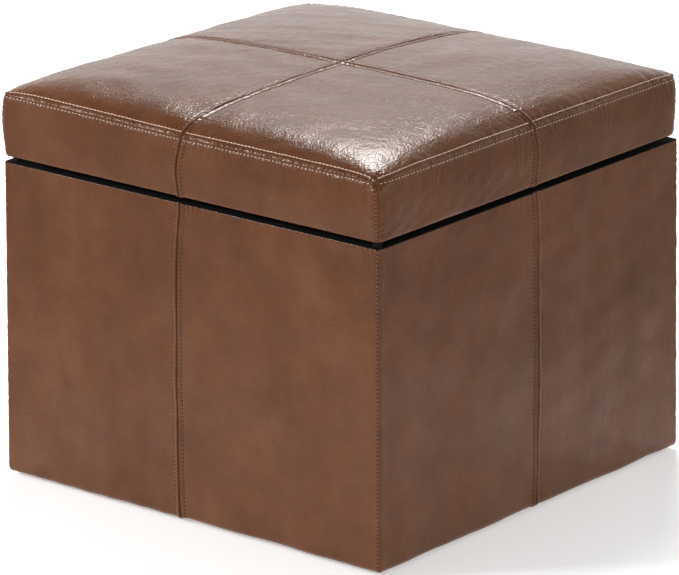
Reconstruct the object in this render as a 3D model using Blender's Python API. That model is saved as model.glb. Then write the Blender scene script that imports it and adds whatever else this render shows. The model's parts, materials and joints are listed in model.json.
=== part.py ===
"""A cube storage ottoman: an upholstered box, and a crowned cushion lid on a piano hinge with two slotted stays.

Metres, +Z up. The origin is on the floor under the middle of the box. The front faces -Y, and the lid's hinge
runs along X above the rear wall. An inset is a distance inboard from the box's outer face.
"""

import math

import bmesh
import bpy
from mathutils import Matrix, Vector

# Driving sizes of the whole
SIDE = 0.457
HALF = SIDE / 2
FIT = 0.0003  # the gap between two pieces that touch
GLIDE_H = 0.002
CLOTH = 0.0005
BOX_LOW = GLIDE_H + CLOTH + 2 * FIT
BOX_TOP = 0.314
SLIT = 0.0054  # between the box's rim and the closed lid
LID_LOW = BOX_TOP + SLIT
SEAM_Z = 0.3765  # where the lid's side strips meet its top panels
CROWN_Z = 0.4025

# Leather with its thin foam backing
COVER = 0.0025
SEAM_GAP = FIT
CORNER_R = 0.006
LID_CORNER_R = 0.013
BEND_R = 0.006
LID_BEND_R = 0.005
ARC_STEPS = 3

# Box
BOARD = 0.012
BOTTOM_BOARD = 0.009
BATTEN = 0.015
LINING = 0.0008
RIM_DROP = 0.030  # how far the leather goes down inside the box
BOX_LIP = 0.0275  # how far the leather goes under the box
BOARD_OUT = COVER + FIT
BOARD_IN = BOARD_OUT + BOARD
LIP_OUT = BOARD_IN + FIT
LIP_IN = LIP_OUT + COVER
WOOD_LOW = BOX_LOW + COVER + FIT
BOTTOM_LOW = WOOD_LOW + BATTEN + FIT
LINING_LOW = BOTTOM_LOW + BOTTOM_BOARD + FIT

# Lid
LID_LIP = 0.030
LID_BULGE = 0.002
LID_BOARD_LOW = LID_LOW + COVER + FIT
FOAM_LOW = LID_BOARD_LOW + BOARD + FIT
WADDING = 0.004
CROWN_SHARE = 0.7  # the part of the crown that the tight edge curve makes
CROWN_NEAR = 0.014
CROWN_FAR = 0.080
EDGE_STEPS = (0.0, 0.0045, 0.009, 0.015, 0.026, 0.045, 0.090)

# Piano hinge
HINGE_LEN = 0.300
KNUCKLES = 10
LEAF = 0.001
LEAF_DEPTH = 0.020
BARREL_R = SLIT / 2 - FIT
HINGE_Y = HALF - 0.002
HINGE_Z = BOX_TOP + SLIT / 2
PIN_R = BARREL_R - LEAF - FIT
CURL_END = math.radians(300)
SCREW_SPOTS = (-0.115, 0.0, 0.115)
SCREW_Y = HINGE_Y - 0.011
SCREW_R, SCREW_HEAD_R, SCREW_LEN = 0.0014, 0.0027, 0.0115

# Lid stays. The arm's pivot and the stud in its slot are equally far from the hinge, so as the lid opens
# the arm slides over the stud and turns back by half the lid's angle.
STAY_REACH = 0.115
PIVOT_DIP = math.radians(9.0)
STUD_DIP = math.radians(39.7)
LID_OPEN = math.radians(95)
STAY_T = 0.0016
ARM_W = 0.014
SLOT_R = 0.0029
STUD_R = 0.0025
PIVOT_R = 0.002
HEAD_R = 0.0045
TAB_OUT = HALF - LIP_IN - FIT  # the bracket tab's outer face
ARM_OUT = TAB_OUT - STAY_T - FIT

LEATHER = ("brown_leather", (0.17, 0.078, 0.045), 0.38, 0.0)
WOOD = ("plywood", (0.56, 0.40, 0.24), 0.7, 0.0)
BLACK_CLOTH = ("black_cloth", (0.03, 0.03, 0.032), 0.95, 0.0)
FOAM = ("foam", (0.80, 0.76, 0.62), 0.9, 0.0)
FIBRE = ("fibre", (0.88, 0.88, 0.86), 0.95, 0.0)
STEEL = ("zinc_steel", (0.62, 0.62, 0.60), 0.35, 1.0)
RUBBER = ("rubber", (0.03, 0.028, 0.026), 0.8, 0.0)
PLASTIC = ("plastic", (0.05, 0.045, 0.04), 0.5, 0.0)


def clear_scene():
    for obj in list(bpy.data.objects):
        bpy.data.objects.remove(obj, do_unlink=True)


def material(finish):
    name, colour, roughness, metallic = finish
    found = bpy.data.materials.get(name)
    if found:
        return found
    made = bpy.data.materials.new(name)
    made.use_nodes = True
    shader = made.node_tree.nodes["Principled BSDF"]
    shader.inputs["Base Color"].default_value = (*colour, 1.0)
    shader.inputs["Roughness"].default_value = roughness
    shader.inputs["Metallic"].default_value = metallic
    return made


def add(name, bm, finish, origin=(0, 0, 0), smooth=None):
    """An object from a bmesh in world space, with its origin at the given point."""
    bmesh.ops.remove_doubles(bm, verts=bm.verts, dist=1e-6)
    bmesh.ops.recalc_face_normals(bm, faces=bm.faces)
    bmesh.ops.translate(bm, verts=bm.verts, vec=-Vector(origin))
    mesh = bpy.data.meshes.new(name)
    bm.to_mesh(mesh)
    bm.free()
    mesh.materials.append(material(finish))
    if smooth:
        mesh.shade_smooth()
        mesh.set_sharp_from_angle(angle=math.radians(smooth))
    obj = bpy.data.objects.new(name, mesh)
    obj.location = origin
    bpy.context.scene.collection.objects.link(obj)
    return obj


def loft(bm, rings):
    """Faces between rings of points, with a cap on the first and the last."""
    rows = [[bm.verts.new(point) for point in ring] for ring in rings]
    for near, far in zip(rows, rows[1:]):
        for i in range(len(near)):
            j = (i + 1) % len(near)
            bm.faces.new((near[i], near[j], far[j], far[i]))
    bm.faces.new(rows[0][::-1])
    bm.faces.new(rows[-1])


def board(name, low, high, finish=WOOD, corner_r=0.0, edge_r=0.0):
    """A flat rectangular piece, with its vertical corners rounded by corner_r and its other edges by edge_r."""
    bm = bmesh.new()
    bmesh.ops.create_cube(bm, size=1.0)
    for vert in bm.verts:
        vert.co = Vector(l + (c + 0.5) * (h - l) for l, h, c in zip(low, high, vert.co))
    if corner_r:
        upright = [edge for edge in bm.edges if abs(edge.verts[0].co.z - edge.verts[1].co.z) > FIT]
        bmesh.ops.bevel(bm, geom=upright, offset=corner_r, segments=4, profile=0.5, affect="EDGES")
    obj = add(name, bm, finish)
    if edge_r:
        bevel = obj.modifiers.new("Eased edges", "BEVEL")
        bevel.width = edge_r
        bevel.segments = 2
        bevel.limit_method = "ANGLE"
        bevel.angle_limit = math.radians(40)
    return obj


def turned(name, outline, finish, place=(0, 0, 0), turn=None, steps=14):
    """A solid of revolution: outline is (radius, height) from the axis at one end to the axis at the other."""
    bm = bmesh.new()
    rings = [[Vector((r * math.cos(a), r * math.sin(a), h)) for r, h in outline]
             for a in (2 * math.pi * k / steps for k in range(steps))]
    rows = [[bm.verts.new(point) for point in ring] for ring in rings]
    for near, far in zip(rows, rows[1:] + rows[:1]):
        for i in range(len(outline) - 1):
            bm.faces.new((near[i], far[i], far[i + 1], near[i + 1]))
    bmesh.ops.remove_doubles(bm, verts=bm.verts, dist=1e-7)
    bmesh.ops.dissolve_degenerate(bm, edges=bm.edges, dist=1e-7)
    if turn:
        bmesh.ops.transform(bm, matrix=turn, verts=bm.verts)
    bmesh.ops.translate(bm, verts=bm.verts, vec=place)
    return add(name, bm, finish, origin=place, smooth=30)


def drill(target, cutters):
    for cutter in cutters:
        cut = target.modifiers.new("Hole", "BOOLEAN")
        cut.object = cutter
        cut.operation = "DIFFERENCE"


def cutter(name, outline, place, turn=None):
    obj = turned(name, outline, STEEL, place, turn)
    obj.hide_render = True
    obj.display_type = "WIRE"
    return obj


def bent_path(corners, shrink=0.0):
    """Points along a path of (inset, z) corners, each with a bend radius. All the bends turn the same way."""
    path = []
    for index, (inset, z, radius) in enumerate(corners):
        radius = max(radius - shrink, 0.0)
        if index in (0, len(corners) - 1) or radius < FIT:
            path.append((inset, z))
            continue
        here = Vector((inset, z))
        before = (Vector(corners[index - 1][:2]) - here).normalized()
        after = (Vector(corners[index + 1][:2]) - here).normalized()
        centre = here + (before + after) * radius
        for k in range(ARC_STEPS + 1):
            a = math.pi / 2 * k / ARC_STEPS
            path.append(tuple(centre - after * radius * math.cos(a) - before * radius * math.sin(a)))
    return path


def box_cover_profile():
    """The leather's section: under the box, up its side, over the rim and down inside."""
    inside = BOX_TOP - RIM_DROP
    outer = bent_path([(BOX_LIP, BOX_LOW, 0), (0, BOX_LOW, BEND_R), (0, BOX_TOP, BEND_R),
                       (LIP_IN, BOX_TOP, BEND_R), (LIP_IN, inside, 0)])
    low, high = BOX_LOW + COVER, BOX_TOP - COVER
    inner = bent_path([(BOX_LIP, low, 0), (COVER, low, BEND_R), (COVER, high, BEND_R),
                       (LIP_OUT, high, BEND_R), (LIP_OUT, inside, 0)], shrink=COVER)
    return outer + inner[::-1]


def lid_band_profile():
    """The side strip's section: under the lid board, then up a slightly bulging side to the top seam."""
    outer = bent_path([(LID_LIP, LID_LOW, 0), (0, LID_LOW, LID_BEND_R), (0, SEAM_Z, 0)])
    low = LID_LOW + COVER
    inner = bent_path([(LID_LIP, low, 0), (COVER, low, LID_BEND_R), (COVER, SEAM_Z, 0)], shrink=COVER)
    straight = LID_LOW + LID_BEND_R
    bulge = [(-LID_BULGE * math.sin(math.pi * t), straight + t * (SEAM_Z - straight)) for t in (0.25, 0.5, 0.75)]
    return outer[:-1] + bulge + outer[-1:] + inner[::-1]


def half_side(name, profile, corner_r, quarter, hand):
    """One half of a side's leather, swept from the middle seam round to the corner seam.

    quarter counts quarter turns from the front; hand is 1 for the half towards +X of a front panel.
    """
    bm = bmesh.new()
    back = Vector((-1, -1, 0)).normalized() * (SEAM_GAP / 2)
    rings = [[Vector((SEAM_GAP / 2, -HALF + inset, z)) for inset, z in profile]]
    for step in range(ARC_STEPS + 1):
        a = math.pi / 4 * step / ARC_STEPS
        ring = []
        for inset, z in profile:
            reach = max(corner_r - inset, 0.0)
            centre = HALF - max(corner_r, inset)
            point = Vector((centre + reach * math.sin(a), -centre - reach * math.cos(a), z))
            ring.append(point + back if step == ARC_STEPS or reach == 0 else point)
        rings.append(ring)
    loft(bm, rings)
    bmesh.ops.scale(bm, verts=bm.verts, vec=(hand, 1, 1))
    bmesh.ops.transform(bm, matrix=Matrix.Rotation(quarter * math.pi / 2, 4, "Z"), verts=bm.verts)
    return add(name, bm, LEATHER, smooth=40)


def half_sides(prefix, profile, corner_r):
    sides = (("front", 0, "right", "left"), ("right", 1, "rear", "front"),
             ("rear", 2, "left", "right"), ("left", 3, "front", "rear"))
    return {f"{prefix}_{side}_{end}": half_side(f"{prefix}_{side}_{end}", profile, corner_r, quarter, hand)
            for side, quarter, far, near in sides for end, hand in ((far, 1), (near, -1))}


def crown(x, y):
    """Height of the lid's leather top over a point, level with the seam at the edge."""
    def rise(distance):
        distance = max(distance, 0.0)
        near, far = math.exp(-distance / CROWN_NEAR), math.exp(-distance / CROWN_FAR)
        return CROWN_SHARE * (1 - near) + (1 - CROWN_SHARE) * (1 - far)
    share = rise(HALF - abs(x)) * rise(HALF - abs(y)) / rise(HALF) ** 2
    low = SEAM_Z + COVER + FIT
    return low + (CROWN_Z - low) * share


def round_corner(x, y, half, radius):
    """Moves a point of a square grid so that the square's corner becomes an arc."""
    inner = half - radius
    px, py = abs(x) - inner, abs(y) - inner
    if px <= 0 or py <= 0:
        return x, y
    pull = max(px, py) / math.hypot(px, py)
    return math.copysign(inner + px * pull, x), math.copysign(inner + py * pull, y)


def crowned(name, xs, ys, half, finish, drop, thickness=None, flat_low=None):
    """A sheet or block under the crown: its top lies drop below it, and its underside is parallel or flat."""
    bm = bmesh.new()
    radius = LID_CORNER_R - (HALF - half)
    layers = []
    for layer in (0, 1):
        rows = []
        for x in xs:
            row = []
            for y in ys:
                z = crown(x, y) - drop
                if layer:
                    z = flat_low if flat_low is not None else z - thickness
                row.append(bm.verts.new((*round_corner(x, y, half, radius), z)))
            rows.append(row)
        layers.append(rows)
    top, low = layers
    for i in range(len(xs) - 1):
        for j in range(len(ys) - 1):
            bm.faces.new((top[i][j], top[i + 1][j], top[i + 1][j + 1], top[i][j + 1]))
            bm.faces.new((low[i][j], low[i][j + 1], low[i + 1][j + 1], low[i + 1][j]))
    last_x, last_y = len(xs) - 1, len(ys) - 1
    rim = ([(i, 0) for i in range(last_x)] + [(last_x, j) for j in range(last_y)]
           + [(i, last_y) for i in range(last_x, 0, -1)] + [(0, j) for j in range(last_y, 0, -1)])
    for (i, j), (k, m) in zip(rim, rim[1:] + rim[:1]):
        bm.faces.new((top[i][j], low[i][j], low[k][m], top[k][m]))
    return add(name, bm, finish, smooth=40)


def grid_line(half, from_middle=None):
    """Grid positions across the lid, closer together near its edge."""
    out = sorted({min(half, HALF - step) for step in EDGE_STEPS})
    if from_middle is not None:
        return [from_middle] + out
    return [-step for step in reversed(out)] + [0.0] + out


def box_wood():
    """The boards and battens. Returns the rear board, which the hinge is screwed to."""
    x = HALF - BOARD_OUT
    inner = HALF - BOARD_IN
    top = BOX_TOP - COVER - FIT
    eased = {"edge_r": BEND_R - COVER}
    board("base_front_board", (-x, -x, WOOD_LOW), (x, -inner, top), **eased)
    rear = board("base_rear_board", (-x, inner, WOOD_LOW), (x, x, top), **eased)
    y = inner - FIT
    board("base_left_board", (-x, -y, WOOD_LOW), (-inner, y, top), **eased)
    board("base_right_board", (inner, -y, WOOD_LOW), (x, y, top), **eased)
    a = inner - FIT
    board("base_bottom_board", (-a, -a, BOTTOM_LOW), (a, a, BOTTOM_LOW + BOTTOM_BOARD))
    b = a - BATTEN
    z = WOOD_LOW + BATTEN
    board("base_front_batten", (-a, -a, WOOD_LOW), (a, -b, z))
    board("base_rear_batten", (-a, b, WOOD_LOW), (a, a, z))
    board("base_left_batten", (-a, -b + FIT, WOOD_LOW), (-b, b - FIT, z))
    board("base_right_batten", (b, -b + FIT, WOOD_LOW), (a, b - FIT, z))
    return rear


def tray(name, half, low, high, wall):
    """An open box of thin cloth."""
    bm = bmesh.new()
    inner = half - wall
    square = ((-1, -1), (1, -1), (1, 1), (-1, 1))
    rings = [[Vector((x * w, y * w, z)) for x, y in square]
             for w, z in ((half, low), (half, high), (inner, high), (inner, low + wall))]
    loft(bm, rings)
    return add(name, bm, BLACK_CLOTH)


def cloths():
    tray("storage_lining", HALF - LIP_OUT, LINING_LOW, BOX_TOP - RIM_DROP - FIT, LINING)
    under = HALF - 0.012
    board("base_dust_cover", (-under, -under, BOX_LOW - FIT - CLOTH), (under, under, BOX_LOW - FIT), BLACK_CLOTH)
    lid_under = HALF - 0.026
    low = LID_LOW - FIT - CLOTH
    board("lid_underlining", (-lid_under, -lid_under, low), (lid_under, lid_under, low + CLOTH), BLACK_CLOTH)


def glides():
    spot = HALF - 0.024
    outline = [(0, 0), (0.008, 0), (0.0095, 0.0006), (0.0095, GLIDE_H), (0, GLIDE_H)]
    for end, y in (("front", -spot), ("rear", spot)):
        for side, x in (("left", -spot), ("right", spot)):
            turned(f"glide_{end}_{side}", outline, PLASTIC, (x, y, 0))


def bumpers():
    spot = HALF - 0.0095
    high = SLIT - 2 * FIT
    outline = [(0, 0), (0.0045, 0), (0.0045, high * 0.5), (0.0036, high * 0.9), (0.0028, high), (0, high)]
    for side, x in (("left", -spot), ("right", spot)):
        turned(f"bumper_front_{side}", outline, RUBBER, (x, -spot, BOX_TOP + FIT))


def lid_core():
    """The lid's board, foam block and fibre wadding."""
    half = HALF - COVER - FIT
    lid_board = board("lid_board", (-half, -half, LID_BOARD_LOW), (half, half, LID_BOARD_LOW + BOARD),
                      corner_r=LID_CORNER_R - COVER, edge_r=LID_BEND_R - COVER)
    line = grid_line(half)
    wadding_drop = COVER + FIT
    foam_drop = wadding_drop + WADDING + FIT
    crowned("lid_wadding", line, line, half, FIBRE, wadding_drop, thickness=WADDING)
    crowned("lid_foam", line, line, half, FOAM, foam_drop, flat_low=FOAM_LOW)
    return lid_board


def lid_top():
    line = grid_line(HALF, from_middle=SEAM_GAP / 2)
    mirrored = [-step for step in reversed(line)]
    for end, ys in (("front", mirrored), ("rear", line)):
        for side, xs in (("left", mirrored), ("right", line)):
            crowned(f"lid_top_{end}_{side}", xs, ys, HALF, LEATHER, 0.0, thickness=COVER)


def curl(up):
    """The section of a leaf's knuckle as outer and inner points round the pin, starting from the leaf's face.

    up is 1 for the lid's leaf, which lies above the pin, and -1 for the box's leaf, below it.
    """
    angles = [CURL_END * k / 12 for k in range(13)]
    outer = [(HINGE_Y + BARREL_R * math.sin(a), HINGE_Z + up * BARREL_R * math.cos(a)) for a in angles]
    bore = BARREL_R - LEAF
    inner = [(HINGE_Y + bore * math.sin(a), HINGE_Z + up * bore * math.cos(a)) for a in angles]
    return outer, inner


def hinge_leaf(name, up, first):
    """A piano hinge's leaf: a flat strip whose rear edge rolls round the pin at every second knuckle."""
    outer, inner = curl(up)
    pitch = HINGE_LEN / KNUCKLES
    bm = bmesh.new()
    front, notch = HINGE_Y - LEAF_DEPTH, HINGE_Y - BARREL_R - FIT
    start = -HINGE_LEN / 2
    spans = []
    for k in range(KNUCKLES):
        rolled = k % 2 == first
        side = FIT / 2 if rolled else -FIT / 2
        left = start + k * pitch + (side if k else 0)
        right = start + (k + 1) * pitch - (side if k < KNUCKLES - 1 else 0)
        spans.append((left, right, rolled))

    def ring(x, points):
        return [bm.verts.new((x, y, z)) for y, z in points]

    face, back = outer[0][1], inner[0][1]
    strip = [(front, face), (notch, face), (notch, back), (front, back)]
    ends = [ring(x, strip) for x in [spans[0][0]] + [right for _, right, _ in spans]]
    for near, far, (left, right, rolled) in zip(ends, ends[1:], spans):
        for i, j in ((0, 1), (2, 3), (3, 0)):
            bm.faces.new((near[i], near[j], far[j], far[i]))
        if not rolled:
            bm.faces.new((near[1], near[2], far[2], far[1]))
            continue
        loop = outer + inner[::-1]
        a = [near[1]] + ring(left, loop) + [near[2]]
        b = [far[1]] + ring(right, loop) + [far[2]]
        for i in range(len(a) - 1):
            bm.faces.new((a[i], a[i + 1], b[i + 1], b[i]))
        bm.faces.new(a)
        bm.faces.new(b[::-1])
    bm.faces.new(ends[0][::-1])
    bm.faces.new(ends[-1])
    return add(name, bm, STEEL, origin=(0, HINGE_Y, HINGE_Z), smooth=30)


def hinge(box_rear, rear_covers, lid_board, lid_rear_bands):
    """The leaves, the pin, and three countersunk screws in each leaf with their holes."""
    leaves = {-1: hinge_leaf("hinge_leaf_base", -1, 0), 1: hinge_leaf("hinge_leaf_lid", 1, 1)}
    length = HINGE_LEN - 0.001
    across = Matrix.Rotation(math.pi / 2, 4, "Y")
    turned("hinge_pin", [(0, -length / 2), (PIN_R, -length / 2), (PIN_R, length / 2), (0, length / 2)],
           STEEL, (0, HINGE_Y, HINGE_Z), across, steps=10)
    for up, label, wood, covers in ((-1, "base", box_rear, rear_covers), (1, "lid", lid_board, lid_rear_bands)):
        face = HINGE_Z + up * (BARREL_R - LEAF)
        screw = [(0, 0), (SCREW_HEAD_R, 0), (SCREW_R, LEAF), (SCREW_R, SCREW_LEN - 0.003), (0, SCREW_LEN)]
        hole = [(0, -FIT), (SCREW_HEAD_R + 2 * FIT, -FIT), (SCREW_R + FIT, LEAF), (SCREW_R + FIT, SCREW_LEN + FIT),
                (0, SCREW_LEN + FIT)]
        flip = Matrix.Scale(up, 4, (0, 0, 1))
        cutters = []
        for number, x in enumerate(SCREW_SPOTS, 1):
            spot = (x + up * 0.0125, SCREW_Y, face)
            turned(f"hinge_screw_{label}_{number}", screw, STEEL, spot, flip)
            cutters.append(cutter(f"hinge_hole_{label}_{number}", hole, spot, flip))
        for target in [leaves[up], wood, *covers]:
            drill(target, cutters)


def stay_point(dip):
    return Vector((0, HINGE_Y - STAY_REACH * math.cos(dip), HINGE_Z - STAY_REACH * math.sin(dip)))


def flat_bar(name, length, holes, place, direction, x):
    """A round-ended steel bar in a plane of constant X, with round-ended slots cut through it.

    Its pivot is its origin, and it runs from there along direction.
    """
    curve = bpy.data.curves.new(name, "CURVE")
    curve.dimensions = "2D"
    curve.fill_mode = "BOTH"
    curve.extrude = STAY_T / 2
    steps = 6
    for start, end, radius in [(0.0, length, ARM_W / 2)] + holes:
        points = [(end + radius * math.sin(a), -radius * math.cos(a))
                  for a in (math.pi * k / steps for k in range(steps + 1))]
        points += [(start - radius * math.sin(a), radius * math.cos(a))
                   for a in (math.pi * k / steps for k in range(steps + 1))]
        spline = curve.splines.new("POLY")
        spline.points.add(len(points) - 1)
        for point, (u, v) in zip(spline.points, points):
            point.co = (u, v, 0, 1)
        spline.use_cyclic_u = True
    curve.materials.append(material(STEEL))
    obj = bpy.data.objects.new(name, curve)
    along = direction.normalized()
    across = Vector((1, 0, 0)).cross(along)
    obj.matrix_world = Matrix.Translation((x, place.y, place.z)) @ Matrix(
        ((0, 0, 1), (along.y, across.y, 0), (along.z, across.z, 0))).to_4x4()
    bpy.context.scene.collection.objects.link(obj)
    return obj


def stay_bracket(name, hand, pivot):
    """The angle under the lid that holds the arm's pivot."""
    high = LID_LOW - 2 * FIT - CLOTH
    inner = TAB_OUT - 0.022
    low = pivot.z - 0.007
    section = [(TAB_OUT, low), (TAB_OUT, high), (inner, high), (inner, high - STAY_T),
               (TAB_OUT - STAY_T, high - STAY_T), (TAB_OUT - STAY_T, low)]
    bm = bmesh.new()
    loft(bm, [[Vector((hand * x, pivot.y + y, z)) for x, z in section] for y in (-0.018, 0.018)])
    return add(name, bm, STEEL)


def stay(side, hand):
    """One slotted stay: a bracket and rivet on the lid, a sliding arm, and a shoulder stud on the box."""
    pivot, stud = stay_point(PIVOT_DIP), stay_point(STUD_DIP)
    closed = (stud - pivot).length
    opened = 2 * STAY_REACH * math.sin((STUD_DIP - PIVOT_DIP + LID_OPEN) / 2)
    play = SLOT_R - STUD_R
    arm_x = hand * (ARM_OUT - STAY_T / 2)
    flat_bar(f"stay_arm_{side}", opened + ARM_W / 4,
             [(0, 0, PIVOT_R + FIT), (closed - play, opened, SLOT_R)], pivot, stud - pivot, arm_x)
    inward = Matrix.Rotation(-hand * math.pi / 2, 4, "Y")
    shaft = STAY_T * 2 + FIT * 2
    rivet = [(0, 0), (PIVOT_R, 0), (PIVOT_R, shaft), (HEAD_R, shaft), (HEAD_R * 0.7, shaft + 0.0013),
             (0, shaft + 0.0016)]
    turned(f"stay_rivet_{side}", rivet, STEEL, (hand * TAB_OUT, pivot.y, pivot.z), inward)
    wall = HALF - LIP_OUT - LINING - FIT
    foot = wall - ARM_OUT - FIT
    reach = wall - ARM_OUT + STAY_T + FIT
    post = [(0, 0), (0.009, 0), (0.009, foot * 0.6), (0.007, foot), (STUD_R, foot), (STUD_R, reach),
            (HEAD_R, reach), (HEAD_R * 0.7, reach + 0.0013), (0, reach + 0.0016)]
    turned(f"stay_stud_{side}", post, STEEL, (hand * wall, stud.y, stud.z), inward, steps=16)
    bracket = stay_bracket(f"stay_bracket_{side}", hand, pivot)
    hole_r = PIVOT_R + FIT
    hole = [(0, -FIT), (hole_r, -FIT), (hole_r, STAY_T + FIT), (0, STAY_T + FIT)]
    drill(bracket, [cutter(f"stay_hole_{side}", hole, (hand * TAB_OUT, pivot.y, pivot.z), inward)])


def build():
    clear_scene()
    rear_board = box_wood()
    covers = half_sides("base_cover", box_cover_profile(), CORNER_R)
    bands = half_sides("lid_band", lid_band_profile(), LID_CORNER_R)
    cloths()
    glides()
    bumpers()
    lid_board = lid_core()
    lid_top()
    rear = ("rear_left", "rear_right")
    hinge(rear_board, [covers[f"base_cover_{end}"] for end in rear],
          lid_board, [bands[f"lid_band_{end}"] for end in rear])
    stay("left", -1)
    stay("right", 1)


build()
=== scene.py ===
"""The looks of a leather storage ottoman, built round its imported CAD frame.

Metres, +Z up, in the frame's own coordinates. Each half side is modelled as the right half of the front,
which faces -Y, then mirrored where its hand is -1, and turned about Z by quarter turns. On a half side, s
runs from the middle seam to the corner, and t runs up the leather.
"""

import json
import math

import bmesh
import bpy
import numpy as np
from mathutils import Matrix, Vector


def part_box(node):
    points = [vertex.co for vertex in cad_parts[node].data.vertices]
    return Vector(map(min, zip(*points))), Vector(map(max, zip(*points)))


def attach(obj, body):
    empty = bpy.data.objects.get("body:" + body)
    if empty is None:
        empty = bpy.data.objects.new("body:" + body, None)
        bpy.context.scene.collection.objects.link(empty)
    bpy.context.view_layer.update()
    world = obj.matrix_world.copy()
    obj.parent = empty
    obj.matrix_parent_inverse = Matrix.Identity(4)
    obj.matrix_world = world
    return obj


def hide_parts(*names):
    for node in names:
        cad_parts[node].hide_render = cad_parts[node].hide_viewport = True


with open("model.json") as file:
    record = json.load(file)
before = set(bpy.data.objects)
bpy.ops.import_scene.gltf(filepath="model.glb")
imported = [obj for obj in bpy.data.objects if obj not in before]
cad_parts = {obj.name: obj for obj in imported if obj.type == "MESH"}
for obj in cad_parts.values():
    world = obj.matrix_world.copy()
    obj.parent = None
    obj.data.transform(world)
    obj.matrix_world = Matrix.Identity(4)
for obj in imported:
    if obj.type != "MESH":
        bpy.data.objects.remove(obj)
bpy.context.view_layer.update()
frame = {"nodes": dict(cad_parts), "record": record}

# Sizes taken from the frame
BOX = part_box("base_cover_front_left")
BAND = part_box("lid_band_front_left")
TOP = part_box("lid_top_front_left")
HALF = -BOX[0].y
BOX_LOW, BOX_TOP = BOX[0].z, BOX[1].z
LID_LOW, ROW_Z, CROWN_Z = BAND[0].z, BAND[1].z, TOP[1].z
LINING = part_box("storage_lining")
RIM_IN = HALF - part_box("stay_bracket_right")[1].x - 0.0003
RIM_DROP = BOX_TOP - LINING[1].z

MM = 0.001
# Each side's name, its quarter turns from the front, and the sides at its right and left end
QUARTERS = (("front", 0, "right", "left"), ("right", 1, "rear", "front"),
            ("rear", 2, "left", "right"), ("left", 3, "front", "rear"))

# Leather
BOX_CORNER = 4 * MM
LID_CORNERS = {("front", "left"): 6 * MM, ("front", "right"): 8 * MM, ("rear", "right"): 13 * MM,
               ("rear", "left"): 12 * MM}
BOX_BEND, LID_BEND, RIM_BEND, INNER_BEND = 6 * MM, 3 * MM, 1.1 * MM, 5 * MM
BOX_FLARE = 2.2 * MM  # how much further out the box's leather stands at the floor than at its rim
BOX_LIP, LID_LIP = 27 * MM, 30 * MM  # how far in it is turned under the box, and under the lid
BULGE = {"front": 2.6 * MM, "right": 2.0 * MM, "rear": 2.0 * MM, "left": 3.0 * MM}
ROW_OFFSET = 5.3 * MM  # from a middle seam to the stitch row on each side of it
EDGE_ROW = 4.0 * MM  # from the lid's edge seam to the stitch rows above and below it
CORNER_ROW = 1.9 * MM  # from a corner seam to its stitch row
CORNER_SEAM = (0.35 * MM, 0.25 * MM)  # a corner seam's depth and allowance
CROSS_SEAM = (0.3 * MM, 0.8 * MM)  # those of the seams across the top
TURN_Z = ROW_Z - 0.5 * MM  # where the lid's upright side starts to roll in towards the crown
SEAM_RISE = 3.5 * MM  # from there up the leather to the edge seam
ROLL = 5 * MM
# The crown's share of its height that it gains near the lid's edge, along each side towards +X or +Y
EDGE_SHARE = {"front": (0.7, 0.7, 0.7), "right": (0.7, 0.7, 0.6), "rear": (0.25, 0.25, 0.5),
              "left": (0.75, 0.55, 0.25)}
FRONT_LEFT_LIFT, REAR_LEFT_DROP = 3 * MM, 4 * MM  # how far two of the lid's corners are from level
FRONT_RIGHT_DRAW = (5 * MM, 1 * MM, 1.5 * MM)  # how far the third is drawn left, back and down
CROWN_NEAR, CROWN_FAR = 20 * MM, 80 * MM

# Thread: pitch along a row, length of leather that a stitch spans, radius, and how high it stands
EDGE_STITCH = (4.4 * MM, 4.1 * MM, 0.52 * MM, 0.34 * MM)
LOWER_STITCH = (4.4 * MM, 2.6 * MM, 0.42 * MM, 0.18 * MM)
SEAM_STITCH = (4.0 * MM, 2.7 * MM, 0.36 * MM, 0.10 * MM)
STAPLE = (38 * MM, 10 * MM, 0.35 * MM, 0.25 * MM)  # the same four sizes, for the wire staples
GATHER_PITCH = 5.6 * MM

# The lid's cushion
CLOTH_PRESSURE, CLOTH_FRAMES = 4.0, 20
SWELL_CAP = 22 * MM
SWELL = 1.2 * MM  # the most that a panel swells between its seams
# Each pad's slot, and how far under the leather's bare surface it is
PADDING = {"lid_wadding": ("fibre", 3.5 * MM), "lid_foam": ("foam", 7 * MM)}
PADDING_CORNER = 14 * MM

# Cloth thicknesses, and where the lining's staples are below its hem
LINING_CLOTH, FLAT_CLOTH, TAPE_CLOTH = 0.5 * MM, 0.4 * MM, 0.3 * MM
LINING_INSIDE = 0.8 * MM  # how far the lining's cloth stands inside the frame's lining
LINING_FOLD, HEM_TO_STAPLES = 6 * MM, 7 * MM
TAPE_CLEAR = 0.22 * MM  # between the leather over the rim and the tape

# Colours
LEATHER_DARK = (0.081, 0.0255, 0.0080)
LEATHER_MID = (0.112, 0.0365, 0.0120)
LEATHER_LIGHT = (0.141, 0.051, 0.0195)
# A darker brown painted along the leather's crease lines as shade
LEATHER_CREASE_SHADE = (0.05, 0.02, 0.01)

# Studio and camera
CAMERA_TURN, CAMERA_TILT, CAMERA_ROLL = (math.radians(angle) for angle in (39.33, 17.71, -0.28))
CAMERA_DISTANCE = 12.422  # in widths of the box
FOCAL_RATIO = 8.707  # focal length over sensor width
AIM_ASIDE, AIM_HEIGHT = -0.0108, 0.3775  # the camera's target, in widths of the box
FLOOR_SIZE = 40
# How far to the side of the object the floor's painted pool of light starts and ends darkening, and its
# painted glow fading to nothing
PAINTED_POOL_FADE, PAINTED_GLOW_FADE = (0.32, 1.0), (0.28, 0.75)
SKY = ((0.0, 1.3), (0.40, 1.24), (0.60, 0.35), (1.0, 0.22))  # brightness by height
LAMPS = (
    ("key_soft_box", (-2.2, -2.6, 2.0), 0.62, 74.0),
    ("overhead_soft_box", (-0.9, 1.25, 2.3), 0.8, 52.0),
)
LAMP_AIM = Vector((0, 0, 0.25))


def smoothstep(low, high, x):
    t = np.clip((x - low) / (high - low), 0, 1)
    return t * t * (3 - 2 * t)


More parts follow.
